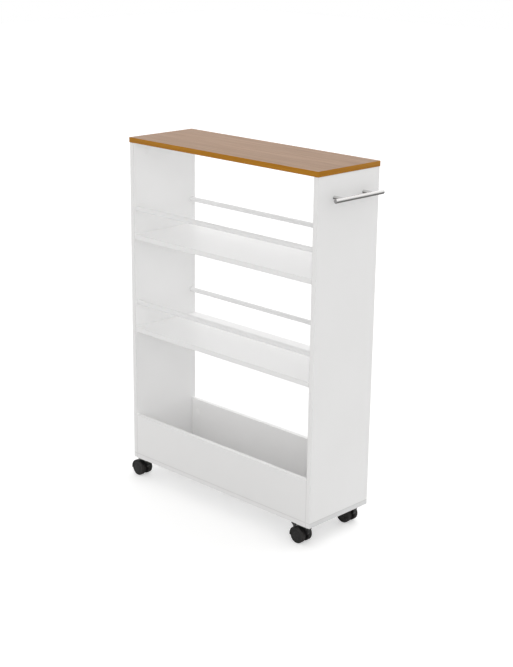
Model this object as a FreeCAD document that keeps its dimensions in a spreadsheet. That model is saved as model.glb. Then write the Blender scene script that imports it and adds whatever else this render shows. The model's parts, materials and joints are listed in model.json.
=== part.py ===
import FreeCAD, Part
import os
import Sketcher

# A narrow rolling pantry cart: two side panels stand on a full-length base board and carry
# a wood-faced top, two shelves with guard rails, an open bin and a bar handle. Four twin-wheel
# swivel casters are screwed under the base board, and the two at the handle end have brakes.
#
# Frame: millimetres, +Z up, +X towards the handle end, -Y is the front. The origin is on the
# floor at the middle of the footprint, with the handle and the trailing casters counted in.

Vector = FreeCAD.Vector
X_AXIS = Vector(1, 0, 0)
Y_AXIS = Vector(0, 1, 0)
Z_AXIS = Vector(0, 0, 1)
SIDES = (-1, 1)

DIMENSIONS = {
    # cabinet
    "body_length": 600,
    "body_depth": 200,
    "body_height": 812,
    "board_thick": 12,
    "edge_round": 0.6,
    "band_thick": 1,
    "cabinet_x": -11,
    "upper_shelf_z": 567,
    "lower_shelf_z": 334,
    "bin_height": 102.5,
    # guard rails
    "rail_dia": 12,
    "rail_wall": 1,
    "rail_rise": 61,
    "rail_y": 88,
    "rail_socket": 8,
    "rail_hole": 12.4,
    # handle
    "handle_length": 156,
    "handle_pitch": 96,
    "handle_dia": 10,
    "handle_reach": 30,
    "handle_z": 751,
    "post_dia": 8,
    "post_bore": 12,
    # cam fittings, dowels and screws
    "cam_y": 60,
    "cam_reach": 24,
    "cam_dia": 15,
    "cam_depth": 9.5,
    "cam_gap": 0.1,
    "cam_room": 0.3,
    "bolt_dia": 5,
    "bolt_grip": 9,
    "bolt_neck": 4,
    "bolt_head": 5.6,
    "bolt_head_thick": 2.8,
    "bolt_channel": 7,
    "cam_cross_arm": 6,
    "cam_cross_width": 1.2,
    "cam_cross_depth": 1.4,
    "cap_dia": 17,
    "cap_thick": 0.8,
    "dowel_y": 25,
    "dowel_dia": 6,
    "dowel_short": 8,
    "dowel_long": 16,
    "dowel_gap": 0.3,
    "bin_cam_z": 70,
    "bin_dowel_z": 35,
    "base_screw_y": 50,
    "base_screw_x": 200,
    "base_screw_dia": 4,
    "base_screw_head": 7.6,
    "base_screw_bore": 8,
    "base_screw_sink": 2.6,
    "base_screw_length": 35,
    "small_screw_dia": 3,
    "small_screw_length": 10,
    "pan_head_dia": 6.5,
    "pan_head_thick": 1.8,
    "handle_screw_dia": 4,
    "handle_screw_length": 22,
    "handle_hole": 4.4,
    "screw_point": 1.5,
    "head_ease": 0.5,
    "cross_share": 0.6,
    "cross_width": 0.9,
    "cross_depth": 0.9,
    "end_gap": 0.2,
    "tip_gap": 0.5,
    # casters
    "caster_height": 50,
    "caster_x": 275,
    "caster_y": 80,
    "caster_trail": 17,
    "caster_width": 34,
    "plate_size": 36,
    "plate_thick": 2,
    "plate_corner": 4,
    "plate_pitch": 26,
    "plate_hole": 4,
    "kingpin_dia": 6,
    "kingpin_collar_dia": 11,
    "kingpin_collar": 1,
    "kingpin_depth": 19.5,
    "kingpin_ease": 0.8,
    "kingpin_room": 1,
    "ring_z": -8,
    "ring_thick": 1,
    "ring_inner_dia": 4.8,
    "ring_outer_dia": 7.4,
    "ring_room": 0.5,
    "running_gap": 0.1,
    "wheel_dia": 38,
    "wheel_inner": 5,
    "wheel_round": 2,
    "wheel_hub_dia": 11,
    "wheel_inner_rim": 3,
    "wheel_outer_rim": 3.2,
    "wheel_slope": 1,
    "wheel_recess": 0.8,
    "wheel_cap_dia": 14.8,
    "axle_dia": 5,
    "axle_length": 29,
    "axle_ease": 0.4,
    "axle_room": 0.5,
    "hood_radius": 21.5,
    "hood_inner_radius": 19.7,
    "hood_front_x": 1,
    "hood_front_z": -18.5,
    "hood_rear_drop": 5,
    "hood_margin": 1,
    "hood_rim_round": 0.8,
    "web_width": 9,
    "web_toe_z": -26,
    "web_knee_z": -21,
    "web_toe_in": 2,
    "web_rear_drop": 4,
    "hub_dia": 15,
    "boss_dia": 14,
    "boss_top": -3.5,
    "boss_bottom": -14,
    # caster brakes
    "brake_x": -30,
    "brake_z": -10.9,
    "brake_width": 16,
    "brake_pin_dia": 2,
    "ear_gap": 0.4,
    "ear_thick": 2,
    "ear_half": 3,
    "ear_top": 1.8,
    "ear_rear_drop": 7.1,
    "ear_front_drop": 3.1,
    "knuckle_dia": 4,
    "pedal_tip_x": -41.5,
    "pedal_tip_z": -7.6,
    "pedal_tip_thick": 1,
    "pedal_heel_x": -35.5,
    "pedal_heel_z": -14.2,
    "shoe_x": -33.4,
    "shoe_half": 1.6,
    "shoe_gap": 1.2,
    "shoe_inner": 5.4,
    "shoe_root": 2.2,
    "slot_room": 1.4,
    "slot_margin": 0.6,
}

doc = FreeCAD.newDocument("PantryCart")
sub_parts = []


# ---------------------------------------------------------------- sheet and expressions

def make_sheet():
    """The spreadsheet that drives every size, one aliased number per row."""
    sheet = doc.addObject("Spreadsheet::Sheet", "Dims")
    for row, (alias, value) in enumerate(DIMENSIONS.items(), start=1):
        sheet.set(f"A{row}", alias)
        sheet.set(f"B{row}", str(value))
        sheet.setAlias(f"B{row}", alias)
    doc.recompute()
    return sheet


def number(expression):
    """The value that an expression over the sheet has now."""
    value = sheet.evalExpression(expression)
    return float(getattr(value, "Value", value))


def place(obj, x="0", y="0", z="0", rotation=None):
    """Bind an object's position to the sheet and give it a fixed turn."""
    obj.Placement = FreeCAD.Placement(Vector(), rotation or FreeCAD.Rotation())
    for axis, expression in (("x", x), ("y", y), ("z", z)):
        obj.setExpression(f"Placement.Base.{axis}", expression)
    return obj


def turn(x_to, z_to):
    """The rotation that takes +X to x_to and +Z to z_to."""
    return FreeCAD.Rotation(x_to, z_to.cross(x_to), z_to, "XZY")


def keep(obj, label):
    """Name a finished sub-part and list it for export."""
    obj.Label = label
    sub_parts.append(obj)
    return obj


# ---------------------------------------------------------------- PartDesign helpers

def new_body(name):
    return doc.addObject("PartDesign::Body", name)


def new_sketch(body, role, offset="0"):
    """A sketch on one of the body's own origin planes, moved along the plane's normal."""
    sketch = body.newObject("Sketcher::SketchObject", body.Name + "_sketch")
    plane = next(item for item in body.Origin.OriginFeatures if item.Role == role)
    sketch.AttachmentSupport = [(plane, "")]
    sketch.MapMode = "FlatFace"
    sketch.setExpression("AttachmentOffset.Base.z", offset)
    return sketch


def pin_point(sketch, geometry, point, x, y):
    """Bind one point of a sketch to an expression for each of its two coordinates."""
    for kind, expression in (("DistanceX", x), ("DistanceY", y)):
        rule = Sketcher.Constraint(kind, -1, 1, geometry, point, number(expression))
        index = sketch.addConstraint(rule)
        sketch.setExpression(f"Constraints[{index}]", expression)


def outline(sketch, points):
    """A closed polygon with every corner bound to the sheet."""
    spots = [Vector(number(x), number(y), 0) for x, y in points]
    for start, end in zip(spots, spots[1:] + spots[:1]):
        sketch.addGeometry(Part.LineSegment(start, end))
    for index, (x, y) in enumerate(points):
        before = (index - 1) % len(points)
        sketch.addConstraint(Sketcher.Constraint("Coincident", before, 2, index, 1))
        pin_point(sketch, index, 1, x, y)
    return sketch


def block(sketch, left, right, bottom, top):
    """A rectangle between four bound sides."""
    return outline(sketch, [(left, bottom), (right, bottom), (right, top), (left, top)])


def circles(sketch, centres, diameter):
    """Equal circles whose centres and diameter are bound to the sheet."""
    for index, (x, y) in enumerate(centres):
        middle = Vector(number(x), number(y), 0)
        sketch.addGeometry(Part.Circle(middle, Z_AXIS, number(diameter) / 2))
        pin_point(sketch, index, 3, x, y)
        rule = Sketcher.Constraint("Diameter", index, number(diameter))
        sketch.setExpression(f"Constraints[{sketch.addConstraint(rule)}]", diameter)
    return sketch


def pad(body, sketch, length, reverse=False):
    feature = body.newObject("PartDesign::Pad", body.Name + "_pad")
    feature.Profile = sketch
    feature.Reversed = reverse
    feature.setExpression("Length", length)
    return feature


def pocket(body, sketch, depth, reverse=False):
    """Cut a sketch into the body, and stop if nothing was removed."""
    doc.recompute()
    before = body.Shape.Volume
    feature = body.newObject("PartDesign::Pocket", body.Name + "_pocket")
    feature.Profile = sketch
    feature.Reversed = reverse
    feature.setExpression("Length", depth)
    doc.recompute()
    if not body.Shape.Volume < before:
        raise RuntimeError(f"{feature.Name} cuts nothing")
    return feature


def drill(body, role, offset, centres, diameter, depth, reverse=False):
    """Equal round holes from one plane; reverse cuts along the plane's normal."""
    sketch = circles(new_sketch(body, role, offset), centres, diameter)
    return pocket(body, sketch, depth, reverse)


def revolve(body, points, role="XZ_Plane"):
    """Turn a profile about the sketch's vertical axis."""
    sketch = outline(new_sketch(body, role), points)
    feature = body.newObject("PartDesign::Revolution", body.Name + "_revolution")
    feature.Profile = sketch
    feature.ReferenceAxis = (sketch, ["V_Axis"])
    feature.Angle = 360
    return feature


def soften(body, feature, radius, chosen):
    """Round the edges of a feature that a test picks out."""
    doc.recompute()
    names = [f"Edge{n}" for n, edge in enumerate(feature.Shape.Edges, start=1) if chosen(edge)]
    fillet = body.newObject("PartDesign::Fillet", body.Name + "_fillet")
    fillet.Base = (feature, names)
    fillet.setExpression("Radius", radius)
    return fillet


def is_rim(edge, radius):
    """True for a circular edge of about the given radius."""
    return hasattr(edge.Curve, "Radius") and abs(edge.Curve.Radius - radius) < 0.01


def mirrored(x, y):
    """The four points (+-x, +-y) as expressions."""
    return [(f"{a} * ({x})", f"{b} * ({y})") for a in SIDES for b in SIDES]


def both(y, other):
    """The two points (+-y, other) as expressions."""
    return [(f"{side} * ({y})", other) for side in SIDES]


def cross_recess(body, low, arm, width, depth):
    """A cross-shaped driver recess cut upwards into the face at z = low."""
    long, short = f"({arm} / 2)", f"({width} / 2)"
    steps = [(long, short), (short, short), (short, long)]
    points = []
    for a, b in ((1, 1), (-1, 1), (-1, -1), (1, -1)):
        corner = [(f"{a} * {x}", f"{b} * {y}") for x, y in steps]
        points += corner if a * b > 0 else corner[::-1]
    pocket(body, outline(new_sketch(body, "XY_Plane", low), points), depth, reverse=True)


# ---------------------------------------------------------------- boards

HALF = "Dims.board_thick / 2"
INNER_X = "(Dims.body_length / 2 - Dims.board_thick)"
PANEL_MID_X = "(Dims.body_length / 2 - Dims.board_thick / 2)"
EDGE_Y = "(Dims.body_depth / 2 - Dims.board_thick / 2)"
PANEL_HEIGHT = "(Dims.body_height - 2 * Dims.board_thick)"
BOLT_HOLE = ("Dims.bolt_dia", "Dims.bolt_grip")
DOWEL_SHORT_HOLE = ("Dims.dowel_dia", "Dims.dowel_short")
DOWEL_LONG_HOLE = ("Dims.dowel_dia", "Dims.dowel_long")
CHANNEL = ("Dims.bolt_channel", "Dims.cam_reach")
CAM_HOLE = ("Dims.cam_dia", "Dims.cam_depth")
SCREW_HOLE = ("Dims.base_screw_dia", "Dims.base_screw_length - Dims.board_thick")


def board(name, length, depth, height):
    """A flat board with its origin under its centre and its outer edges eased."""
    body = new_body(name)
    sketch = new_sketch(body, "XY_Plane")
    block(sketch, f"-{length} / 2", f"{length} / 2", f"-{depth} / 2", f"{depth} / 2")
    slab = pad(body, sketch, height)
    soften(body, slab, "Dims.edge_round", lambda edge: True)
    return body


def drill_ends(body, end_x, centres, diameter, depth):
    """The same holes in both ends of a board, from x = +-end_x towards its middle."""
    drill(body, "YZ_Plane", end_x, centres, diameter, depth)
    drill(body, "YZ_Plane", f"-{end_x}", centres, diameter, depth, reverse=True)


def base_board():
    """The bottom board, which runs under both side panels."""
    body = board("base", "Dims.body_length", "Dims.body_depth", "Dims.board_thick")
    plate_holes = [
        (f"{a} * Dims.caster_x + {c} * Dims.plate_pitch / 2",
         f"{b} * Dims.caster_y + {d} * Dims.plate_pitch / 2")
        for a in SIDES for b in SIDES for c in SIDES for d in SIDES
    ]
    grip = "Dims.small_screw_length - Dims.plate_thick"
    drill(body, "XY_Plane", "0", plate_holes, "Dims.small_screw_dia", grip, reverse=True)
    screws = base_screw_sites()
    sink = "Dims.base_screw_sink"
    drill(body, "XY_Plane", "0", screws, "Dims.base_screw_bore", sink, reverse=True)
    through = "Dims.board_thick"
    drill(body, "XY_Plane", "0", screws, "Dims.base_screw_dia", through, reverse=True)
    drill(body, "XY_Plane", "Dims.board_thick", mirrored(PANEL_MID_X, "Dims.dowel_y"),
          *DOWEL_SHORT_HOLE)
    place(body, "Dims.cabinet_x", "0", "Dims.caster_height")
    keep(body, "bottom_board")


def base_screw_sites():
    """Where screws rise through the base board into the panels and the bin boards."""
    sites = mirrored(PANEL_MID_X, "Dims.base_screw_y")
    for side in SIDES:
        sites += [(f"{n} * Dims.base_screw_x", f"{side} * {EDGE_Y}") for n in (-1, 0, 1)]
    return sites


def side_panel(label, side):
    """A side panel, drilled on its inner face; its local x runs outwards from that face."""
    body = new_body(label)
    sketch = new_sketch(body, "XY_Plane")
    block(sketch, "0", "Dims.board_thick", "-Dims.body_depth / 2", "Dims.body_depth / 2")
    slab = pad(body, sketch, PANEL_HEIGHT)
    soften(body, slab, "Dims.edge_round", lambda edge: True)

    shelf_heights = [f"(Dims.{level}_shelf_z - {HALF})" for level in ("upper", "lower")]
    bolts = both(EDGE_Y, "Dims.bin_cam_z")
    dowels = both(EDGE_Y, "Dims.bin_dowel_z")
    rails = []
    for height in shelf_heights:
        bolts += both("Dims.cam_y", height)
        dowels += both("Dims.dowel_y", height)
        rails += both("Dims.rail_y", f"{height} + {HALF} + Dims.rail_rise")
    drill(body, "YZ_Plane", "0", bolts, *BOLT_HOLE, reverse=True)
    drill(body, "YZ_Plane", "0", dowels, *DOWEL_SHORT_HOLE, reverse=True)
    drill(body, "YZ_Plane", "0", rails, "Dims.rail_hole", "Dims.rail_socket", reverse=True)
    cams = both("Dims.cam_y", f"{PANEL_HEIGHT} - Dims.cam_reach")
    drill(body, "YZ_Plane", "0", cams, *CAM_HOLE, reverse=True)

    top_bolts = [(HALF, f"{n} * Dims.cam_y") for n in SIDES]
    pegs = [(HALF, f"{n} * Dims.dowel_y") for n in SIDES]
    screws = [(HALF, f"{n} * Dims.base_screw_y") for n in SIDES]
    drill(body, "XY_Plane", PANEL_HEIGHT, top_bolts, *CHANNEL)
    drill(body, "XY_Plane", PANEL_HEIGHT, pegs, *DOWEL_LONG_HOLE)
    drill(body, "XY_Plane", "0", pegs, *DOWEL_LONG_HOLE, reverse=True)
    drill(body, "XY_Plane", "0", screws, *SCREW_HOLE, reverse=True)
    if side > 0:
        handle = both("Dims.handle_pitch / 2", "Dims.handle_z - Dims.board_thick")
        drill(body, "YZ_Plane", "0", handle, "Dims.handle_hole", "Dims.board_thick",
              reverse=True)
    place(body, f"Dims.cabinet_x + {side} * {INNER_X}", "0",
          "Dims.caster_height + Dims.board_thick", turn(X_AXIS * side, Z_AXIS))
    keep(body, label)


def shelf(level):
    """A shelf held at each end by two cam fittings and two dowels."""
    body = board(f"{level}_shelf", f"(2 * {INNER_X})", "Dims.body_depth", "Dims.board_thick")
    cams = mirrored(f"{INNER_X} - Dims.cam_reach", "Dims.cam_y")
    drill(body, "XY_Plane", "0", cams, *CAM_HOLE, reverse=True)
    drill_ends(body, INNER_X, both("Dims.cam_y", HALF), *CHANNEL)
    drill_ends(body, INNER_X, both("Dims.dowel_y", HALF), *DOWEL_LONG_HOLE)
    place(body, "Dims.cabinet_x", "0", f"Dims.caster_height + Dims.{level}_shelf_z")
    keep(body, f"{level}_shelf")


def bin_board(label, side):
    """The front or back board of the bin; its cams are on the face inside the bin."""
    body = board(label, f"(2 * {INNER_X})", "Dims.board_thick", "Dims.bin_height")
    cams = both(f"{INNER_X} - Dims.cam_reach", "Dims.bin_cam_z")
    drill(body, "XZ_Plane", f"-{HALF}", cams, *CAM_HOLE, reverse=True)
    drill_ends(body, INNER_X, [("0", "Dims.bin_cam_z")], *CHANNEL)
    drill_ends(body, INNER_X, [("0", "Dims.bin_dowel_z")], *DOWEL_LONG_HOLE)
    screws = [(f"{n} * Dims.base_screw_x", "0") for n in (-1, 0, 1)]
    drill(body, "XY_Plane", "0", screws, *SCREW_HOLE, reverse=True)
    place(body, "Dims.cabinet_x", f"{side} * {EDGE_Y}",
          "Dims.caster_height + Dims.board_thick", turn(X_AXIS * -side, Z_AXIS))
    keep(body, label)


def top_board():
    """The core of the top, drilled underneath for cam bolts and dowels."""
    body = board("top", "Dims.body_length", "Dims.body_depth", "Dims.board_thick")
    drill(body, "XY_Plane", "0", mirrored(PANEL_MID_X, "Dims.cam_y"), *BOLT_HOLE,
          reverse=True)
    drill(body, "XY_Plane", "0", mirrored(PANEL_MID_X, "Dims.dowel_y"), *DOWEL_SHORT_HOLE,
          reverse=True)
    place(body, "Dims.cabinet_x", "0",
          "Dims.caster_height + Dims.body_height - Dims.board_thick")
    keep(body, "top_board")


def edge_band(label, length, across, x, y):
    """One strip of banding on an edge of the top; across is its size along Y."""
    strip = doc.addObject("Part::Box", label)
    strip.setExpression("Length", length)
    strip.setExpression("Width", across)
    strip.setExpression("Height", "Dims.board_thick")
    place(strip, f"Dims.cabinet_x + {x}", y,
          "Dims.caster_height + Dims.body_height - Dims.board_thick")
    keep(strip, label)


def edge_bands():
    """Front and back strips run the full length and cover the ends of the side strips."""
    full = "Dims.body_length + 2 * Dims.band_thick"
    start = "(-Dims.body_length / 2 - Dims.band_thick)"
    depth = "Dims.body_depth"
    thick = "Dims.band_thick"
    edge_band("top_front_edge_band", full, thick, start, f"-{depth} / 2 - {thick}")
    edge_band("top_back_edge_band", full, thick, start, f"{depth} / 2")
    edge_band("top_left_edge_band", thick, depth, start, f"-{depth} / 2")
    edge_band("top_right_edge_band", thick, depth, "Dims.body_length / 2", f"-{depth} / 2")


# ---------------------------------------------------------------- rails and handle

def guard_rail(level, label, side):
    """A round tube whose ends sit in blind sockets in the side panels."""
    body = new_body(label)
    reach = f"({INNER_X} + Dims.rail_socket)"
    ring = new_sketch(body, "YZ_Plane", f"-{reach}")
    circles(ring, [("0", "0")], "Dims.rail_dia")
    pad(body, ring, f"2 * {reach}")
    bore = "Dims.rail_dia - 2 * Dims.rail_wall"
    drill(body, "YZ_Plane", reach, [("0", "0")], bore, f"2 * {reach}")
    place(body, "Dims.cabinet_x", f"{side} * Dims.rail_y",
          f"Dims.caster_height + Dims.{level}_shelf_z + Dims.board_thick + Dims.rail_rise")
    keep(body, label)


HANDLE_X = "Dims.cabinet_x + Dims.body_length / 2"


def handle_bar():
    """The straight round bar of the handle, lying along Y, with eased ends."""
    body = new_body("handle_bar")
    radius, half = "Dims.handle_dia / 2", "Dims.handle_length / 2"
    ease = "Dims.edge_round"
    revolve(body, [("0", f"-{half}"), (f"{radius} - {ease}", f"-{half}"),
                   (radius, f"-{half} + {ease}"), (radius, f"{half} - {ease}"),
                   (f"{radius} - {ease}", half), ("0", half)], "XY_Plane")
    place(body, f"{HANDLE_X} + Dims.handle_reach", "0", "Dims.caster_height + Dims.handle_z")
    keep(body, "handle_bar")


def handle_post(label, side):
    """A post from the panel to the bar, saddled to the bar and bored for its screw."""
    body = new_body(label)
    post = circles(new_sketch(body, "YZ_Plane"), [("0", "0")], "Dims.post_dia")
    pad(body, post, "Dims.handle_reach")
    saddle = circles(new_sketch(body, "XZ_Plane", "-Dims.post_dia"),
                     [("Dims.handle_reach", "0")], "Dims.handle_dia")
    pocket(body, saddle, "2 * Dims.post_dia", reverse=True)
    drill(body, "YZ_Plane", "0", [("0", "0")], "Dims.handle_screw_dia", "Dims.post_bore",
          reverse=True)
    place(body, HANDLE_X, f"{side} * Dims.handle_pitch / 2",
          "Dims.caster_height + Dims.handle_z")
    keep(body, label)


# ---------------------------------------------------------------- fasteners

def group(label, master, sites):
    """One node of equal separate solids: a linked copy of the master at each site."""
    copies = []
    for x, y, z, rotation in sites:
        copy = doc.addObject("App::Link", label + "_copy")
        copy.LinkedObject = master
        copies.append(place(copy, x, y, z, rotation))
    bundle = doc.addObject("Part::Compound", label)
    bundle.Links = copies
    place(bundle, "Dims.cabinet_x", "0", "Dims.caster_height")
    keep(bundle, label)


def along(direction):
    """The turn that points a profile revolved about its own +Y along a direction."""
    return FreeCAD.Rotation(X_AXIS, direction) * FreeCAD.Rotation(Y_AXIS, X_AXIS)


def shift(base, *steps):
    """An expression moved by multiples of sheet values: shift(x, (1, "Dims.cam_reach"))."""
    return base + "".join(f" + {factor} * ({value})" for factor, value in steps)


def joints():
    """Each board joint as (x, cam_y, dowel_y, cam_z, dowel_z, inward, sink): where its cam
    bolts and dowels cross from board to board, the direction into the held board, and the
    direction in which its cams are sunk."""
    found = []
    for side in SIDES:
        inward = X_AXIS * -side
        wall = f"{side} * {INNER_X}"
        for level in ("upper", "lower"):
            height = f"Dims.{level}_shelf_z + {HALF}"
            found.append((wall, "Dims.cam_y", "Dims.dowel_y", height, height, inward, Z_AXIS))
        for end in SIDES:
            edge = f"{end} * {EDGE_Y}"
            found.append((wall, edge, edge, "Dims.board_thick + Dims.bin_cam_z",
                          "Dims.board_thick + Dims.bin_dowel_z", inward, Y_AXIS * end))
        found.append((f"{side} * {PANEL_MID_X}", "Dims.cam_y", "Dims.dowel_y",
                      "Dims.body_height - Dims.board_thick",
                      "Dims.body_height - Dims.board_thick", Z_AXIS * -1, X_AXIS * side))
    return found


def doubled(y, sink):
    """Shelf and top joints have a fitting on each side of the middle; bin joints have one."""
    if abs(sink.y) > 0:
        return [y]
    return [f"{side} * {y}" for side in SIDES]


def cam_bolt_master():
    """Cam bolt along +Y: screwed grip below zero, then a neck and a round head."""
    body = new_body("cam_bolt")
    grip, neck, head = (f"Dims.{name} / 2" for name in ("bolt_dia", "bolt_neck", "bolt_head"))
    head_half = "Dims.bolt_head_thick / 2"
    inner_end = f"Dims.cam_reach - {head_half}"
    outer_end = f"Dims.cam_reach + {head_half}"
    low = "-Dims.bolt_grip + Dims.end_gap"
    revolve(body, [("0", low), (grip, low), (grip, "0"), (neck, "0"), (neck, inner_end),
                   (head, inner_end), (head, outer_end), ("0", outer_end)], "XY_Plane")
    return body


def cam_master():
    """Cam disc sunk along +Z from its outer face, with its slot open towards +X."""
    body = new_body("cam")
    disc = circles(new_sketch(body, "XY_Plane"), [("0", "0")], "Dims.cam_dia - Dims.cam_gap")
    pad(body, disc, "Dims.cam_depth - Dims.cam_gap")
    room = "(Dims.bolt_head / 2 + Dims.cam_room)"
    slot = "(Dims.bolt_neck / 2 + Dims.cam_room)"
    reach = "(Dims.bolt_head_thick / 2 + 2 * Dims.cam_room)"
    cavity = block(new_sketch(body, "YZ_Plane", f"-{reach}"), f"-{room}", room,
                   f"{HALF} - {room}", f"{HALF} + {room}")
    pocket(body, cavity, f"2 * {reach}", reverse=True)
    gate = block(new_sketch(body, "YZ_Plane"), f"-{slot}", slot,
                 f"{HALF} - {slot}", f"{HALF} + {slot}")
    pocket(body, gate, "Dims.cam_dia", reverse=True)
    cross_recess(body, "0", "Dims.cam_cross_arm", "Dims.cam_cross_width",
                 "Dims.cam_cross_depth")
    return body


def cap_master():
    """Cover cap over a cam: a thin disc standing out of the board along -Z."""
    body = new_body("cam_cap")
    disc = circles(new_sketch(body, "XY_Plane"), [("0", "0")], "Dims.cap_dia")
    slab = pad(body, disc, "Dims.cap_thick", reverse=True)
    soften(body, slab, "Dims.cap_thick / 2",
           lambda edge: edge.CenterOfMass.z < -number("Dims.cap_thick / 2"))
    return body


def dowel_master():
    """Wooden dowel along +Y: its short end goes into the face-drilled board."""
    body = new_body("dowel")
    radius, ease = "Dims.dowel_dia / 2", "Dims.edge_round"
    low, high = "(-Dims.dowel_short + Dims.dowel_gap)", "(Dims.dowel_long - Dims.dowel_gap)"
    revolve(body, [("0", low), (f"{radius} - {ease}", low), (radius, f"{low} + {ease}"),
                   (radius, f"{high} - {ease}"), (f"{radius} - {ease}", high), ("0", high)],
            "XY_Plane")
    return body


def screw_master(name, head_low, head_dia, shank_dia, length):
    """Screw along +Z with its head under zero: head_low is the head's underside face."""
    body = new_body(name)
    head, shank, ease = f"{head_dia} / 2", f"{shank_dia} / 2", "Dims.head_ease"
    revolve(body, [("0", head_low), (f"{head} - {ease}", head_low),
                   (head, f"{head_low} + {ease}"), (head, "0"), (shank, "0"),
                   (shank, f"{length} - Dims.screw_point"), (f"{shank} / 3", length),
                   ("0", length)])
    cross_recess(body, head_low, f"Dims.cross_share * {head_dia}", "Dims.cross_width",
                 "Dims.cross_depth")
    return body


def joint_fittings():
    """The cam bolts, cams, cover caps and dowels of every board joint."""
    bolts, cams, dowels = [], [], []
    for x, cam_y, dowel_y, cam_z, dowel_z, inward, sink in joints():
        reach = "Dims.cam_reach"
        face_x = shift(x, (inward.x, reach), (-sink.x, HALF))
        face_z = shift(cam_z, (inward.z, reach), (-sink.z, HALF))
        for y in doubled(cam_y, sink):
            face_y = shift(y, (-sink.y, HALF))
            bolts.append((x, y, cam_z, along(inward)))
            cams.append((face_x, face_y, face_z, turn(inward * -1, sink)))
        for y in doubled(dowel_y, sink):
            dowels.append((x, y, dowel_z, along(inward)))
    for x, y in mirrored(PANEL_MID_X, "Dims.dowel_y"):
        dowels.append((x, y, "Dims.board_thick", along(Z_AXIS)))
    group("cam_bolts", cam_bolt_master(), bolts)
    group("cams", cam_master(), cams)
    group("cam_caps", cap_master(), cams)
    group("dowels", dowel_master(), dowels)


def screw_sets():
    """The screws of the base board, the caster plates and the handle."""
    upright = FreeCAD.Rotation()
    seat = "Dims.base_screw_sink"
    base_screw = screw_master(
        "base_screw", f"(-{seat} + Dims.end_gap)", "Dims.base_screw_head",
        "Dims.base_screw_dia", f"(Dims.base_screw_length - {seat} - Dims.tip_gap)")
    group("base_screws", base_screw, [(x, y, seat, upright) for x, y in base_screw_sites()])

    pan_head = ("(-Dims.pan_head_thick)", "Dims.pan_head_dia")
    small_screw = screw_master("small_screw", *pan_head, "Dims.small_screw_dia",
                               "(Dims.small_screw_length - Dims.end_gap)")
    corners = mirrored("Dims.plate_pitch / 2", "Dims.plate_pitch / 2")
    group("caster_screws", small_screw, [
        (f"{a} * Dims.caster_x + {x}", f"{b} * Dims.caster_y + {y}", "-Dims.plate_thick", upright)
        for a in SIDES for b in SIDES for x, y in corners
    ])

    handle_screw = screw_master("handle_screw", *pan_head, "Dims.handle_screw_dia",
                                "Dims.handle_screw_length")
    outward = turn(Z_AXIS * -1, X_AXIS)
    group("handle_screws", handle_screw, [
        (INNER_X, y, "Dims.handle_z", outward) for y, _ in both("Dims.handle_pitch / 2", "0")
    ])


def kingpin_rings():
    """The grip ring of each caster's kingpin."""
    group("kingpin_rings", ring_master(), [
        (f"{a} * Dims.caster_x", f"{b} * Dims.caster_y", "0", FreeCAD.Rotation())
        for a in SIDES for b in SIDES
    ])


# ---------------------------------------------------------------- casters
# Caster pieces share a local frame: the swivel axis is z, the underside of the base board is
# z = 0, and the wheels trail towards -X.

WHEEL_X = "(-Dims.caster_trail)"
WHEEL_Z = "(Dims.wheel_dia / 2 - Dims.caster_height)"
HALF_WIDTH = "(Dims.caster_width / 2)"
HALF_WEB = "(Dims.web_width / 2)"


def caster_place(obj, corner):
    end, side = corner
    return place(obj, f"Dims.cabinet_x + {end} * Dims.caster_x", f"{side} * Dims.caster_y",
                 "Dims.caster_height")


def caster_plate(name, corner):
    """Square mounting plate with a screw hole near each corner."""
    body = new_body(name)
    half = "Dims.plate_size / 2"
    slab = pad(body, block(new_sketch(body, "XY_Plane"), f"-{half}", half, f"-{half}", half),
               "Dims.plate_thick", reverse=True)
    soften(body, slab, "Dims.plate_corner",
           lambda edge: abs(edge.Vertexes[0].Z - edge.Vertexes[1].Z) > 1)
    drill(body, "XY_Plane", "0", mirrored("Dims.plate_pitch / 2", "Dims.plate_pitch / 2"),
          "Dims.plate_hole", "Dims.plate_thick")
    drill(body, "XY_Plane", "0", [("0", "0")], "Dims.kingpin_dia", "Dims.plate_thick")
    keep(caster_place(body, corner), name)


def kingpin(name, corner):
    """Swivel pin riveted in the plate, with a collar and a groove for its grip ring."""
    body = new_body(name)
    radius = "Dims.kingpin_dia / 2"
    collar_low = "(-Dims.plate_thick - Dims.kingpin_collar)"
    ring_low = "(Dims.ring_z - Dims.ring_thick / 2 - Dims.running_gap)"
    ring_high = "(Dims.ring_z + Dims.ring_thick / 2 + Dims.running_gap)"
    neck = "Dims.ring_inner_dia / 2"
    tip, ease = "(-Dims.kingpin_depth)", "Dims.kingpin_ease"
    revolve(body, [("0", tip), (f"{radius} - {ease}", tip), (radius, f"{tip} + {ease}"),
                   (radius, ring_low), (neck, ring_low), (neck, ring_high),
                   (radius, ring_high), (radius, collar_low),
                   ("Dims.kingpin_collar_dia / 2", collar_low),
                   ("Dims.kingpin_collar_dia / 2", "-Dims.plate_thick"),
                   (radius, "-Dims.plate_thick"), (radius, "0"), ("0", "0")])
    keep(caster_place(body, corner), name)


def ring_master():
    """Grip ring that sits in the kingpin's groove and keeps the hood on it."""
    body = new_body("kingpin_ring")
    inner, outer = "Dims.ring_inner_dia / 2", "Dims.ring_outer_dia / 2"
    low = "Dims.ring_z - Dims.ring_thick / 2"
    high = "Dims.ring_z + Dims.ring_thick / 2"
    revolve(body, [(inner, low), (outer, low), (outer, high), (inner, high)])
    return body


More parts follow.
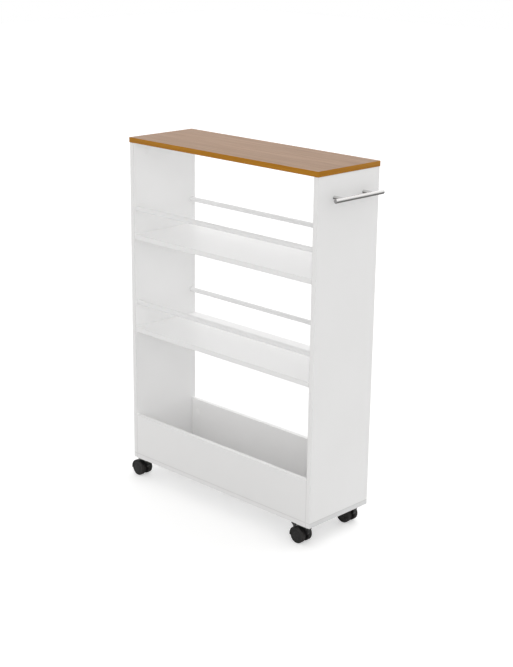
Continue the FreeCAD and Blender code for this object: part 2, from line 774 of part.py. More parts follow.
def hood(name, corner, braked):
    """Caster housing: a rim over both wheels, a web between them and the kingpin boss."""
    body = new_body(name)
    centre = [(WHEEL_X, WHEEL_Z)]
    hood_rim(body, centre)
    hood_web(body, centre)
    if braked:
        brake_ears(body)
    drill(body, "XY_Plane", "Dims.boss_top", [("0", "0")],
          "Dims.kingpin_dia + Dims.running_gap",
          "Dims.kingpin_depth + Dims.boss_top + Dims.kingpin_room")
    ring_groove(body)
    drill(body, "XZ_Plane", f"-{HALF_WEB}", centre, "Dims.axle_dia", "Dims.web_width",
          reverse=True)
    keep(caster_place(body, corner), name)


def hood_rim(body, centre):
    """A drum around both wheels, cut away below and hollowed from each side."""
    rim = pad(body, circles(new_sketch(body, "XZ_Plane", f"-{HALF_WIDTH}"), centre,
                            "2 * Dims.hood_radius"), "Dims.caster_width")
    eased = soften(body, rim, "Dims.hood_rim_round",
                   lambda edge: is_rim(edge, number("Dims.hood_radius")))
    doc.recompute()
    if "Invalid" in eased.State:
        raise RuntimeError(f"{body.Name} rim was not eased")
    below = "Dims.hood_front_z - Dims.caster_height"
    rear_x = f"{WHEEL_X} - Dims.hood_radius - Dims.hood_margin"
    front_x = "Dims.hood_front_x + Dims.hood_radius"
    lower = outline(new_sketch(body, "XZ_Plane", f"-{HALF_WIDTH}"), [
        (rear_x, f"{WHEEL_Z} - Dims.hood_rear_drop"), ("Dims.hood_front_x", "Dims.hood_front_z"),
        (front_x, "Dims.hood_front_z"), (front_x, below), (rear_x, below)])
    pocket(body, lower, "Dims.caster_width", reverse=True)
    inner = "2 * Dims.hood_inner_radius"
    drill(body, "XZ_Plane", HALF_WEB, centre, inner, HALF_WIDTH, reverse=True)
    drill(body, "XZ_Plane", f"-{HALF_WEB}", centre, inner, HALF_WIDTH)


def hood_web(body, centre):
    """The web between the wheels, its hub around the axle and the boss on the kingpin."""
    start = f"-{HALF_WEB}"
    hub_radius, boss_radius = "Dims.hub_dia / 2", "Dims.boss_dia / 2"
    web = outline(new_sketch(body, "XZ_Plane", start), [
        (f"{WHEEL_X} - {hub_radius}", WHEEL_Z), (WHEEL_X, f"{WHEEL_Z} - {hub_radius}"),
        (f"{WHEEL_X} + {hub_radius}", WHEEL_Z),
        (f"{boss_radius} - Dims.web_toe_in", "Dims.web_toe_z"),
        (boss_radius, "Dims.web_knee_z"), (boss_radius, "Dims.boss_bottom"),
        (WHEEL_X, "Dims.boss_bottom"),
        (f"{WHEEL_X} - Dims.hub_dia", "Dims.boss_bottom - Dims.web_rear_drop")])
    pad(body, web, "Dims.web_width")
    hub = circles(new_sketch(body, "XZ_Plane", start), centre, "Dims.hub_dia")
    pad(body, hub, "Dims.web_width")
    boss = circles(new_sketch(body, "XY_Plane", "Dims.boss_top"), [("0", "0")], "Dims.boss_dia")
    pad(body, boss, "Dims.boss_top - Dims.boss_bottom", reverse=True)


def ring_groove(body):
    """Room in the boss for the grip ring."""
    half = "(Dims.ring_thick / 2 + Dims.ring_room)"
    groove = block(new_sketch(body, "XZ_Plane"), "0", "Dims.ring_outer_dia / 2 + Dims.ring_room",
                   f"Dims.ring_z - {half}", f"Dims.ring_z + {half}")
    before = body.Shape.Volume
    cut = body.newObject("PartDesign::Groove", body.Name + "_groove")
    cut.Profile = groove
    cut.ReferenceAxis = (groove, ["V_Axis"])
    cut.Angle = 360
    doc.recompute()
    if not body.Shape.Volume < before:
        raise RuntimeError(f"{cut.Name} cuts nothing")


def brake_ears(body):
    """Two lugs on the rim for the brake pin, and a slot on each side of the web."""
    inner = "(Dims.brake_width / 2 + Dims.ear_gap)"
    outer = f"({inner} + Dims.ear_thick)"
    rear, front = "Dims.brake_x - Dims.ear_half", "Dims.brake_x + Dims.ear_half"
    top = "Dims.brake_z + Dims.ear_top"
    points = [(rear, "Dims.brake_z - Dims.ear_rear_drop"),
              (front, "Dims.brake_z - Dims.ear_front_drop"), (front, top), (rear, top)]
    for start in (f"-{outer}", inner):
        pad(body, outline(new_sketch(body, "XZ_Plane", start), points), "Dims.ear_thick")
        pin = [("Dims.brake_x", "Dims.brake_z")]
        drill(body, "XZ_Plane", start, pin, "Dims.brake_pin_dia", "Dims.ear_thick",
              reverse=True)
    clear = "(Dims.shoe_half + Dims.slot_room)"
    near = "(Dims.shoe_inner - Dims.slot_margin)"
    for low, high in ((f"-{inner}", f"-{near}"), (near, inner)):
        slot = block(new_sketch(body, "XY_Plane", "Dims.brake_z - Dims.knuckle_dia / 2"),
                     f"Dims.shoe_x - {clear}", f"Dims.shoe_x + {clear}", low, high)
        pocket(body, slot, "Dims.wheel_dia / 2")


def axle(name, corner):
    """Steel axle pressed through the hood's web."""
    body = new_body(name)
    radius, half, ease = "Dims.axle_dia / 2", "Dims.axle_length / 2", "Dims.axle_ease"
    revolve(body, [("0", f"-{half}"), (f"{radius} - {ease}", f"-{half}"),
                   (radius, f"-{half} + {ease}"), (radius, f"{half} - {ease}"),
                   (f"{radius} - {ease}", half), ("0", half)], "XY_Plane")
    end, side = corner
    place(body, f"Dims.cabinet_x + {end} * Dims.caster_x + {WHEEL_X}",
          f"{side} * Dims.caster_y", "Dims.wheel_dia / 2")
    keep(body, name)


def wheel(name, corner, facing):
    """One of the twin wheels; facing is the side of the web that it runs on."""
    body = new_body(name)
    inner, outer, radius = "Dims.wheel_inner", HALF_WIDTH, "Dims.wheel_dia / 2"
    slope, recess = "Dims.wheel_slope", "Dims.wheel_recess"
    bore = "(Dims.axle_dia + Dims.running_gap) / 2"
    bore_end = "(Dims.axle_length / 2 + Dims.axle_room)"
    hub, cap = "Dims.wheel_hub_dia / 2", "Dims.wheel_cap_dia / 2"
    inner_rim = f"{radius} - Dims.wheel_inner_rim"
    outer_rim = f"{radius} - Dims.wheel_outer_rim"
    profile = [
        (bore, inner), (hub, inner), (f"{hub} + {slope}", f"{inner} + {slope}"),
        (f"{inner_rim} - {slope}", f"{inner} + {slope}"), (inner_rim, inner), (radius, inner),
        (radius, outer), (outer_rim, outer), (f"{outer_rim} - {slope}", f"{outer} - {recess}"),
        (f"{cap} + {recess}", f"{outer} - {recess}"), (cap, outer), ("0", outer),
        ("0", bore_end), (bore, bore_end)]
    turned = revolve(body, profile, "XY_Plane")
    soften(body, turned, "Dims.wheel_round", lambda edge: is_rim(edge, number(radius)))
    end, side = corner
    place(body, f"Dims.cabinet_x + {end} * Dims.caster_x + {WHEEL_X}",
          f"{side} * Dims.caster_y", "Dims.wheel_dia / 2", turn(X_AXIS * facing, Z_AXIS))
    keep(body, name)


def brake_pin(name, corner):
    """Steel pin through the hood's ears and the lever's knuckle."""
    pin = doc.addObject("Part::Cylinder", name)
    pin.setExpression("Radius", "Dims.brake_pin_dia / 2")
    half = "(Dims.brake_width / 2 + Dims.ear_gap + Dims.ear_thick)"
    pin.setExpression("Height", f"2 * {half}")
    end, side = corner
    place(pin, f"Dims.cabinet_x + {end} * Dims.caster_x + Dims.brake_x",
          f"{side} * Dims.caster_y + {half}", "Dims.caster_height + Dims.brake_z",
          FreeCAD.Rotation(X_AXIS, 90))
    keep(pin, name)


def brake_lever(name, corner):
    """Foot pedal: a knuckle on the pin, a wedge-shaped tail and two shoes over the treads."""
    body = new_body(name)
    half = "(Dims.brake_width / 2)"
    knuckle_radius = "Dims.knuckle_dia / 2"
    knuckle = circles(new_sketch(body, "XZ_Plane", f"-{half}"),
                      [("Dims.brake_x", "Dims.brake_z")], "Dims.knuckle_dia")
    pad(body, knuckle, "Dims.brake_width")
    tail = outline(new_sketch(body, "XZ_Plane", f"-{half}"), [
        ("Dims.brake_x", f"Dims.brake_z + {knuckle_radius}"), ("Dims.brake_x", "Dims.brake_z"),
        ("Dims.pedal_heel_x", "Dims.pedal_heel_z"),
        ("Dims.pedal_tip_x", "Dims.pedal_tip_z - Dims.pedal_tip_thick"),
        ("Dims.pedal_tip_x", "Dims.pedal_tip_z")])
    pad(body, tail, "Dims.brake_width")
    reach = "(Dims.wheel_dia / 2 + Dims.shoe_gap)"
    rear, front = "Dims.shoe_x - Dims.shoe_half", "Dims.shoe_x + Dims.shoe_half"
    root = "Dims.brake_z - Dims.shoe_root"
    shoe_end = f"{WHEEL_Z} + sqrt({reach} ^ 2 - ({{}} - {WHEEL_X}) ^ 2)"
    for start in (f"-{half}", "Dims.shoe_inner"):
        shoe = outline(new_sketch(body, "XZ_Plane", start), [
            (rear, shoe_end.format(rear)), (front, shoe_end.format(front)),
            (front, root), (rear, root)])
        pad(body, shoe, f"{half} - Dims.shoe_inner")
    drill(body, "XZ_Plane", f"-{half}", [("Dims.brake_x", "Dims.brake_z")],
          "Dims.brake_pin_dia + Dims.running_gap", "Dims.brake_width", reverse=True)
    keep(caster_place(body, corner), name)


def casters():
    """The four casters, front to back and left to right."""
    for end, end_name in zip(SIDES, ("left", "right")):
        for side, side_name in zip(SIDES, ("front", "back")):
            name = f"{side_name}_{end_name}"
            corner = (end, side)
            caster_plate(f"{name}_caster_plate", corner)
            kingpin(f"{name}_kingpin", corner)
            hood(f"{name}_caster_hood", corner, braked=end > 0)
            axle(f"{name}_axle", corner)
            for facing, which in zip(SIDES, ("front", "back")):
                wheel(f"{name}_{which}_wheel", corner, facing)
            if end > 0:
                brake_pin(f"{name}_brake_pin", corner)
                brake_lever(f"{name}_brake_lever", corner)


# ---------------------------------------------------------------- build, check and write

def check_document():
    """Stop if any object failed, or if a sub-part has no sound shape."""
    for obj in doc.Objects:
        if {"Invalid", "Error"} & set(obj.State):
            raise RuntimeError(f"{obj.Name} is {obj.State}")
    for obj in sub_parts:
        if obj.Shape.isNull() or not obj.Shape.isValid():
            raise RuntimeError(f"{obj.Label} has no valid shape")


def write_parts():
    os.makedirs("parts", exist_ok=True)
    for obj in sub_parts:
        obj.Shape.exportStep(f"parts/{obj.Label}.step")
        box = obj.Shape.BoundBox
        print(f"{obj.Label}: {len(obj.Shape.Solids)} solid(s), "
              f"x {box.XMin:.1f}..{box.XMax:.1f}, y {box.YMin:.1f}..{box.YMax:.1f}, "
              f"z {box.ZMin:.1f}..{box.ZMax:.1f}")


sheet = make_sheet()
top_board()
edge_bands()
side_panel("left_side_panel", -1)
side_panel("right_side_panel", 1)
shelf("upper")
shelf("lower")
base_board()
bin_board("bin_front_board", -1)
bin_board("bin_back_board", 1)
for shelf_level in ("upper", "lower"):
    guard_rail(shelf_level, f"{shelf_level}_front_rail", -1)
    guard_rail(shelf_level, f"{shelf_level}_back_rail", 1)
handle_bar()
handle_post("handle_front_post", -1)
handle_post("handle_back_post", 1)
joint_fittings()
screw_sets()
kingpin_rings()
casters()
doc.recompute()
check_document()
write_parts()
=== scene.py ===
import json
import math

import bmesh
import bpy
from mathutils import Matrix, Vector


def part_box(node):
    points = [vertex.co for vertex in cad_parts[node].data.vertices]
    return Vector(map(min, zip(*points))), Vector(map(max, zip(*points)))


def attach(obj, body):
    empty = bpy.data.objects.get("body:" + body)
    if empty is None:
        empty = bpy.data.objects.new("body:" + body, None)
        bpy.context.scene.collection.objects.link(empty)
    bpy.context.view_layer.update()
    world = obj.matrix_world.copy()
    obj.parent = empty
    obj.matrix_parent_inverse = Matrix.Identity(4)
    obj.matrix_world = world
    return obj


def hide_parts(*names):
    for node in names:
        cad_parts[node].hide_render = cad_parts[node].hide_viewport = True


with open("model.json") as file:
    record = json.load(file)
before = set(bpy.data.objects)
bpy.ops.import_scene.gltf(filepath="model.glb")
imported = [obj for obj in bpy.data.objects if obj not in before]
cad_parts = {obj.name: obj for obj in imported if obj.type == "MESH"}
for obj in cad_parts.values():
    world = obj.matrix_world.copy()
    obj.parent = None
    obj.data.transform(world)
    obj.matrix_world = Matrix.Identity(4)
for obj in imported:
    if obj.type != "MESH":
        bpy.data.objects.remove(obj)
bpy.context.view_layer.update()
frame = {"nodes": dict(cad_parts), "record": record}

# A narrow rolling pantry cart. The CAD nodes keep their shapes and get procedural materials;
# the wheels and the top's edging are replaced by more detailed meshes.
# Everything is in metres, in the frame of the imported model: +X is the handle end, -Y the front.

MM = 0.001
SEGMENTS = 96

# ---------------------------------------------------------------- material helpers


def feed(tree, socket, value):
    """Links another socket into this one, or sets its value."""
    if isinstance(value, bpy.types.NodeSocket):
        tree.links.new(value, socket)
    else:
        socket.default_value = value


def mix_colours(tree, share, first, second):
    """A colour mixed from first to second."""
    node = tree.nodes.new("ShaderNodeMix")
    node.data_type = "RGBA"
    for index, value in ((0, share), (6, first), (7, second)):
        feed(tree, node.inputs[index], value)
    return node.outputs[2]


class Shader:
    """A node material, with short ways to add nodes to it."""

    def __init__(self, name, **constants):
        self.material = bpy.data.materials.new(name)
        self.material.use_nodes = True
        self.tree = self.material.node_tree
        self.surface = self.tree.nodes["Principled BSDF"]
        self.place = self.add("TexCoord").outputs["Object"]
        for socket, value in constants.items():
            self.surface.inputs[socket.replace("_", " ")].default_value = value

    def add(self, kind, inputs=None, **settings):
        node = self.tree.nodes.new("ShaderNode" + kind)
        for name, value in settings.items():
            setattr(node, name, value)
        for name, value in (inputs or {}).items():
            self.feed(node.inputs[name], value)
        return node

    def feed(self, socket, value):
        feed(self.tree, socket, value)

    def noise(self, scale, detail=3.0, roughness=0.5, distortion=0.0):
        """Noise with its own scale along X, Y and Z, in cycles per metre."""
        spread = self.add("Mapping", {"Vector": self.place, "Scale": scale})
        settings = {"Vector": spread.outputs["Vector"], "Scale": 1.0, "Detail": detail,
                    "Roughness": roughness, "Distortion": distortion}
        return self.add("TexNoise", settings).outputs["Fac"]

    def span(self, value, low, high, to_low=0.0, to_high=1.0):
        """A value remapped from low..high, clamped."""
        settings = {"Value": value, "From Min": low, "From Max": high,
                    "To Min": to_low, "To Max": to_high}
        return self.add("MapRange", settings).outputs["Result"]

    def math(self, operation, first, second=0.0):
        node = self.add("Math", operation=operation)
        self.feed(node.inputs[0], first)
        self.feed(node.inputs[1], second)
        return node.outputs["Value"]

    def blend(self, share, first, second):
        return mix_colours(self.tree, share, first, second)

    def axis(self, name):
        return self.add("SeparateXYZ", {"Vector": self.place}).outputs[name]

    def normal_part(self, name):
        """The part of the surface normal along an axis, from -1 to 1."""
        normal = self.add("TexCoord").outputs["Normal"]
        return self.add("SeparateXYZ", {"Vector": normal}).outputs[name]

    def facing(self, name):
        """How far the surface faces along an axis either way, from 0 to 1."""
        return self.math("ABSOLUTE", self.normal_part(name))

    def raise_by(self, height, depth, strength=1.0, below=None):
        """A bump of the given depth in metres, on top of an earlier one."""
        inputs = {"Height": height, "Distance": depth, "Strength": strength}
        if below is not None:
            inputs["Normal"] = below
        return self.add("Bump", inputs).outputs["Normal"]

    def finish(self, colour=None, roughness=None, normal=None):
        for socket, value in (("Base Color", colour), ("Roughness", roughness),
                              ("Normal", normal)):
            if value is not None:
                self.feed(self.surface.inputs[socket], value)
        return self.material


def grey(value, warmth=0.0):
    return (value * (1 + warmth), value, value * (1 - warmth), 1)


# ---------------------------------------------------------------- materials

BOARD_LIGHT = grey(0.935, 0.001)
BOARD_SHADE = grey(0.92, 0.002)
# Band tone: partly the edge banding's own tone, partly painted shade on every face turned along
# Y.
BAND_AND_SHADE_TONE = grey(0.885, 0.003)
# Dark tone for the band's real glue seam and for the painted shade in the board joints.
SEAM_AND_JOINT_SHADE_TONE = grey(0.42, 0.02)
# Base board's front: banding tone with painted shade.
BASE_FRONT_BAND_AND_SHADE_TONE = grey(0.875, 0.003)
# Painted shadow on the base board's ends: darker and bluish.
BASE_END_PAINTED_SHADOW = grey(0.80, -0.004)
BAND_SEAM_Y = 99.15 * MM
SEAM_HALF = 0.12 * MM
SEAM_SHARE = 0.45
JOINT_HALF = 0.7 * MM
JOINT_SHARE = 0.26


def fine_line(s, coordinate, centre, half):
    """1 on a thin line around a coordinate, falling to 0 at twice its half width."""
    offset = s.math("ABSOLUTE", s.math("SUBTRACT", coordinate, centre))
    return s.span(offset, half, 2 * half, 1, 0)


def board_joints(s, across):
    """Thin shadowed lines where the boards meet, from the boards' own boxes."""
    panel_low, panel_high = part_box("right_side_panel")
    other_low, other_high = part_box("left_side_panel")
    level = s.axis("Z")
    lengthwise = s.axis("X")
    flat = s.math("MAXIMUM", fine_line(s, level, panel_low.z, JOINT_HALF),
                  fine_line(s, level, panel_high.z, JOINT_HALF))
    upright = s.math("MAXIMUM", fine_line(s, lengthwise, panel_low.x, JOINT_HALF),
                     fine_line(s, lengthwise, other_high.x, JOINT_HALF))
    return s.math("MAXIMUM", flat, s.math("MULTIPLY", upright, s.span(across, 0.3, 0.6)))


def white_board(name, front_band_and_shade_tone, end_painted_shadow=None):
    """Melamine-faced board: satin pearl texture, edge banding with painted shade on faces turned
    along Y, an optional painted shadow on its ends, and fine joints with painted shade.
    """
    s = Shader(name, Specular_IOR_Level=0.42)
    mottle = s.noise((7, 7, 7), detail=4)
    face = s.blend(s.span(mottle, 0.3, 0.7), BOARD_SHADE, BOARD_LIGHT)
    across = s.facing("Y")
    # Painted shadow: faces turned along X take the darker, bluish end tone.
    if end_painted_shadow:
        face = s.blend(s.span(s.facing("X"), 0.6, 0.9), face, end_painted_shadow)
    # Painted shade: faces turned along Y, the edges and the bin boards' broad faces alike, take
    # the darker band tone.
    banded_and_shaded = s.blend(s.span(across, 0.6, 0.9), face, front_band_and_shade_tone)
    depth = s.math("ABSOLUTE", s.axis("Y"))
    seam = s.math("MULTIPLY", fine_line(s, depth, BAND_SEAM_Y, SEAM_HALF),
                  s.span(across, 0.3, 0.6, 1, 0))
    # The band seam is a real dark line; the joint lines are painted shade where the boards meet.
    lines = s.math("MAXIMUM", s.math("MULTIPLY", seam, SEAM_SHARE),
                   s.math("MULTIPLY", board_joints(s, across), JOINT_SHARE))
    colour = s.blend(lines, banded_and_shaded, SEAM_AND_JOINT_SHADE_TONE)
    pearl = s.noise((1100, 1100, 1100), detail=2)
    ripple = s.noise((60, 60, 60), detail=2)
    normal = s.raise_by(pearl, 0.03 * MM, 0.35)
    normal = s.raise_by(ripple, 0.05 * MM, 0.2, normal)
    rough = s.span(s.noise((35, 35, 35), detail=5), 0.2, 0.8, 0.36, 0.47)
    return s.finish(colour, rough, normal)


WOOD_DARK = (0.236, 0.127, 0.064, 1)
WOOD_MID = (0.341, 0.188, 0.095, 1)
WOOD_LIGHT = (0.425, 0.245, 0.133, 1)


def top_laminate():
    """Printed wood laminate, with grain along X and pores, over a white backing."""
    s = Shader("top_laminate", Specular_IOR_Level=0.22)
    broad = s.noise((2.2, 34, 34), detail=4, distortion=0.6)
    streaks = s.noise((5, 210, 210), detail=6, roughness=0.65)
    pores = s.noise((60, 1500, 1500), detail=2)
    base = s.blend(s.span(broad, 0.25, 0.75), WOOD_MID, WOOD_LIGHT)
    grain = s.blend(s.span(streaks, 0.42, 0.80), base, WOOD_DARK)
    printed = s.blend(s.span(pores, 0.62, 0.80, 0, 0.45), grain, WOOD_DARK)
    colour = s.blend(s.span(s.normal_part("Z"), -0.9, -0.6), BOARD_SHADE, printed)
    normal = s.raise_by(pores, 0.04 * MM, 0.4)
    rough = s.span(streaks, 0.3, 0.8, 0.42, 0.54)
    return s.finish(colour, rough, normal)


BAND_DARK = (0.250, 0.090, 0.006, 1)
BAND_MID = (0.395, 0.160, 0.010, 1)
BAND_LIGHT = (0.480, 0.215, 0.020, 1)


def top_edge_band(along):
    """Wood-look banding with its grain along one axis."""
    s = Shader("top_edge_band_" + along, Specular_IOR_Level=0.12)
    stretch = (4, 380, 380) if along == "x" else (380, 4, 380)
    fine = (30, 1600, 1600) if along == "x" else (1600, 30, 1600)
    streaks = s.noise(stretch, detail=5, roughness=0.6)
    pores = s.noise(fine, detail=2)
    base = s.blend(s.span(streaks, 0.3, 0.7), BAND_MID, BAND_LIGHT)
    colour = s.blend(s.span(pores, 0.55, 0.8, 0, 0.6), base, BAND_DARK)
    normal = s.raise_by(pores, 0.04 * MM, 0.4)
    rough = s.span(streaks, 0.3, 0.8, 0.36, 0.5)
    return s.finish(colour, rough, normal)


def white_rail():
    """Powder-coated tube: glossy, with a faint orange peel."""
    s = Shader("white_rail", Coat_Weight=0.25, Coat_Roughness=0.12)
    colour = s.blend(s.noise((12, 12, 12), detail=3), grey(0.86), grey(0.89))
    peel = s.noise((1300, 1300, 1300), detail=1)
    rough = s.span(s.noise((80, 80, 80)), 0.2, 0.8, 0.30, 0.36)
    return s.finish(colour, rough, s.raise_by(peel, 0.01 * MM, 0.1))


def handle_steel():
    """Stainless bar and posts, brushed along Y, with painted shade on the underside and a painted
    lighter top.
    """
    s = Shader("handle_steel", Metallic=1.0, Anisotropic=0.3)
    brush = s.noise((1900, 14, 1900), detail=4, roughness=0.7)
    smudge = s.noise((26, 18, 26), detail=4)
    # Painted shade and highlight: the base colour runs from dark on the underside to bright on
    # top by the surface normal, standing in for dark and bright reflections.
    painted_light_share = s.span(s.normal_part("Z"), -0.25, 0.35)
    painted_dark_underside = s.blend(brush, grey(0.11, 0.02), grey(0.17, 0.02))
    bright = s.blend(brush, grey(0.62, 0.008), grey(0.80, 0.008))
    colour = s.blend(painted_light_share, painted_dark_underside, bright)
    rough = s.math("ADD", s.span(brush, 0.2, 0.8, 0.09, 0.15),
                   s.span(smudge, 0.45, 0.8, 0, 0.08))
    return s.finish(colour, rough, s.raise_by(brush, 0.01 * MM, 0.12))


def zinc_steel():
    """Zinc-plated plates, pins and screws, with a cloudy passivation."""
    s = Shader("zinc_steel", Metallic=1.0)
    cloud = s.noise((120, 120, 120), detail=5)
    grit = s.noise((1500, 1500, 1500), detail=2)
    colour = s.blend(s.span(cloud, 0.3, 0.7), (0.50, 0.52, 0.55, 1), (0.66, 0.66, 0.62, 1))
    rough = s.span(cloud, 0.2, 0.8, 0.28, 0.46)
    return s.finish(colour, rough, s.raise_by(grit, 0.02 * MM, 0.3))


def cam_alloy():
    """Die-cast cams, matt and grainy."""
    s = Shader("cam_alloy", Metallic=1.0)
    cast = s.noise((700, 700, 700), detail=4)
    colour = s.blend(cast, grey(0.42), grey(0.56))
    rough = s.span(cast, 0.2, 0.8, 0.42, 0.62)
    return s.finish(colour, rough, s.raise_by(cast, 0.05 * MM, 0.5))


def white_plastic():
    """Moulded caps, a touch creamier than the boards."""
    s = Shader("white_plastic")
    colour = s.blend(s.noise((90, 90, 90)), grey(0.900, 0.003), grey(0.920, 0.003))
    grain = s.noise((1400, 1400, 1400), detail=2)
    rough = s.span(s.noise((200, 200, 200)), 0.2, 0.8, 0.30, 0.42)
    return s.finish(colour, rough, s.raise_by(grain, 0.02 * MM, 0.3))


def dowel_wood():
    """Beech dowels with fine flecks."""
    s = Shader("dowel_wood")
    grain = s.noise((300, 300, 300), detail=5, distortion=0.5)
    fleck = s.noise((1300, 1300, 500), detail=2)
    base = s.blend(grain, (0.47, 0.29, 0.15, 1), (0.62, 0.42, 0.24, 1))
    colour = s.blend(s.span(fleck, 0.6, 0.8), base, (0.30, 0.16, 0.08, 1))
    rough = s.span(grain, 0.2, 0.8, 0.6, 0.8)
    return s.finish(colour, rough, s.raise_by(fleck, 0.1 * MM, 0.4))


def black_nylon():
    """Caster hoods and levers: spark-textured nylon with faint scuffs."""
    s = Shader("black_nylon", Specular_IOR_Level=0.45)
    texture = s.noise((1700, 1700, 1700), detail=3)
    scuff = s.noise((90, 240, 60), detail=5, roughness=0.7)
    colour = s.blend(s.span(scuff, 0.55, 0.8), grey(0.010, 0.02), grey(0.028, 0.02))
    rough = s.span(scuff, 0.3, 0.8, 0.40, 0.58)
    return s.finish(colour, rough, s.raise_by(texture, 0.05 * MM, 0.5))


WHEEL_RADIUS = 19 * MM


def wheel_nylon():
    """Wheels: a dusty tread and a satin side, in the wheel's own centred frame."""
    s = Shader("wheel_nylon", Specular_IOR_Level=0.3)
    x, z = s.axis("X"), s.axis("Z")
    radius = s.math("SQRT", s.math("ADD", s.math("MULTIPLY", x, x), s.math("MULTIPLY", z, z)))
    dust = s.noise((420, 420, 420), detail=5, roughness=0.7)
    tread = s.span(radius, 0.93 * WHEEL_RADIUS, 0.99 * WHEEL_RADIUS)
    side = s.blend(s.span(dust, 0.35, 0.75), grey(0.016, 0.03), grey(0.028, 0.03))
    dusty = s.blend(s.span(dust, 0.3, 0.7), grey(0.014, 0.04), grey(0.034, 0.06))
    colour = s.blend(tread, side, dusty)
    rough = s.math("ADD", s.span(dust, 0.3, 0.7, 0.40, 0.52), s.math("MULTIPLY", tread, 0.14))
    grit = s.noise((1600, 1600, 1600), detail=2)
    return s.finish(colour, rough, s.raise_by(grit, 0.04 * MM, 0.4))


FLOOR_LIFT = 0.42
FLOOR_HALF = 12


def floor_paper():
    """Pale seamless paper, lifted towards white as a cut-out product picture shows it."""
    s = Shader("floor_paper", Specular_IOR_Level=0.1)
    fibre = s.noise((9, 9, 9), detail=5)
    colour = s.blend(fibre, grey(0.79), grey(0.80))
    seen = s.add("LightPath").outputs["Is Camera Ray"]
    s.surface.inputs["Emission Color"].default_value = grey(1)
    s.feed(s.surface.inputs["Emission Strength"], s.math("MULTIPLY", seen, FLOOR_LIFT))
    return s.finish(colour, s.span(fibre, 0.2, 0.8, 0.85, 0.95))


MATERIALS = {
    "white_board": white_board("white_board", BAND_AND_SHADE_TONE),
    "top_laminate": top_laminate(),
    "top_edge_band": top_edge_band("x"),
    "white_rail": white_rail(),
    "handle_steel": handle_steel(),
    "zinc_steel": zinc_steel(),
    "cam_alloy": cam_alloy(),
    "white_plastic": white_plastic(),
    "dowel_wood": dowel_wood(),
    "black_nylon": black_nylon(),
    "wheel_nylon": wheel_nylon(),
}
EDGE_BAND_ACROSS = top_edge_band("y")
BASE_BOARD = white_board("white_base_board", BASE_FRONT_BAND_AND_SHADE_TONE, BASE_END_PAINTED_SHADOW)


SLOT_OF = {part["node"]: part["material_slot"] for part in frame["record"]["subparts"]}


def dress_nodes():
    """Every CAD node takes the procedural material of its slot."""
    for name, obj in frame["nodes"].items():
        obj.data.materials.clear()
        obj.data.materials.append(MATERIALS[SLOT_OF[name]])
    frame["nodes"]["bottom_board"].data.materials[0] = BASE_BOARD


# ---------------------------------------------------------------- mesh helpers


def new_piece(name, mesh_builder, material, smooth_angle=None):
    """An object from a bmesh, shaded smooth up to an angle in degrees."""
    mesh = bpy.data.meshes.new(name)
    bm = bmesh.new()
    mesh_builder(bm)
    bmesh.ops.recalc_face_normals(bm, faces=bm.faces)
    bm.to_mesh(mesh)
    bm.free()
    mesh.materials.append(material)
    piece = bpy.data.objects.new(name, mesh)
    bpy.context.scene.collection.objects.link(piece)
    if smooth_angle is not None:
        mesh.polygons.foreach_set("use_smooth", [True] * len(mesh.polygons))
        mesh.set_sharp_from_angle(angle=math.radians(smooth_angle))
    return piece


def stand_for(piece, node, body):
    """A detailed piece takes a CAD node's place and motion."""
    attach(piece, body)
    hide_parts(node)
    return piece


def body_of(node):
    bodies = frame["record"]["behaviour"]["bodies"]
    return next(body for body, members in bodies.items() if node in members)


# ---------------------------------------------------------------- wheels


def arc(centre, radius, start, end, steps):
    """Profile points (radius, y) on an arc, with its angles in degrees."""
    for step in range(steps + 1):
        angle = math.radians(start + (end - start) * step / steps)
        yield (centre[0] + radius * math.cos(angle), centre[1] + radius * math.sin(angle))


def wheel_profile(radius, thick):
    """Half section of a wheel from its bore to its centre cap; y = 0 is the inner face."""
    shoulder = 2.0 * MM
    groove = 0.35 * MM
    bore, bore_end = 2.55 * MM, 10.0 * MM
    hub, hub_step = 5.5 * MM, 0.9 * MM
    recess, lip = 0.8 * MM, 0.25 * MM
    cap, cap_round = 6.9 * MM, 0.6 * MM
    dimple, dimple_depth = 2.6 * MM, 0.3 * MM
    middle = thick / 2
    sunk = thick - recess
    points = [(bore, 0), (hub, 0), (hub + 0.6 * MM, hub_step), (radius - 4.2 * MM, hub_step),
              (radius - 3.4 * MM, 0)]
    points += arc((radius - shoulder, shoulder), shoulder, -90, 0, 8)
    points += [(radius, middle - 2 * groove), (radius - groove, middle - groove / 2),
               (radius - groove, middle + groove / 2), (radius, middle + 2 * groove)]
    points += arc((radius - shoulder, thick - shoulder), shoulder, 0, 90, 8)
    points += [(radius - 3.0 * MM, thick), (radius - 3.7 * MM, thick - lip),
               (radius - 4.1 * MM, sunk), (cap + 1.7 * MM, sunk),
               (cap + 1.3 * MM, sunk + 0.1 * MM), (cap + 0.9 * MM, thick - lip)]
    points += arc((cap, thick - cap_round), cap_round, 20, 90, 4)
    points += [(dimple, thick), (dimple - 0.4 * MM, thick - dimple_depth),
               (0, thick - dimple_depth), (0, bore_end), (bore, bore_end)]
    return points


def lathe(bm, profile, facing):
    """Turns a closed profile of (radius, y) about the Y axis; facing mirrors it along Y."""
    rings = []
    for radius, y in profile:
        if radius == 0:
            rings.append([bm.verts.new((0, facing * y, 0))])
            continue
        ring = []
        for step in range(SEGMENTS):
            angle = 2 * math.pi * step / SEGMENTS
            ring.append(bm.verts.new((radius * math.cos(angle), facing * y,
                                      radius * math.sin(angle))))
        rings.append(ring)
    for first, second in zip(rings, rings[1:] + rings[:1]):
        join_rings(bm, first, second)


def join_rings(bm, first, second):
    """Quads between two rings, or a fan where one of them is a single point."""
    if len(first) == 1 and len(second) == 1:
        return
    for step in range(SEGMENTS):
        after = (step + 1) % SEGMENTS
        corners = [first[step % len(first)], first[after % len(first)],
                   second[after % len(second)], second[step % len(second)]]
        bm.faces.new(list(dict.fromkeys(corners)))


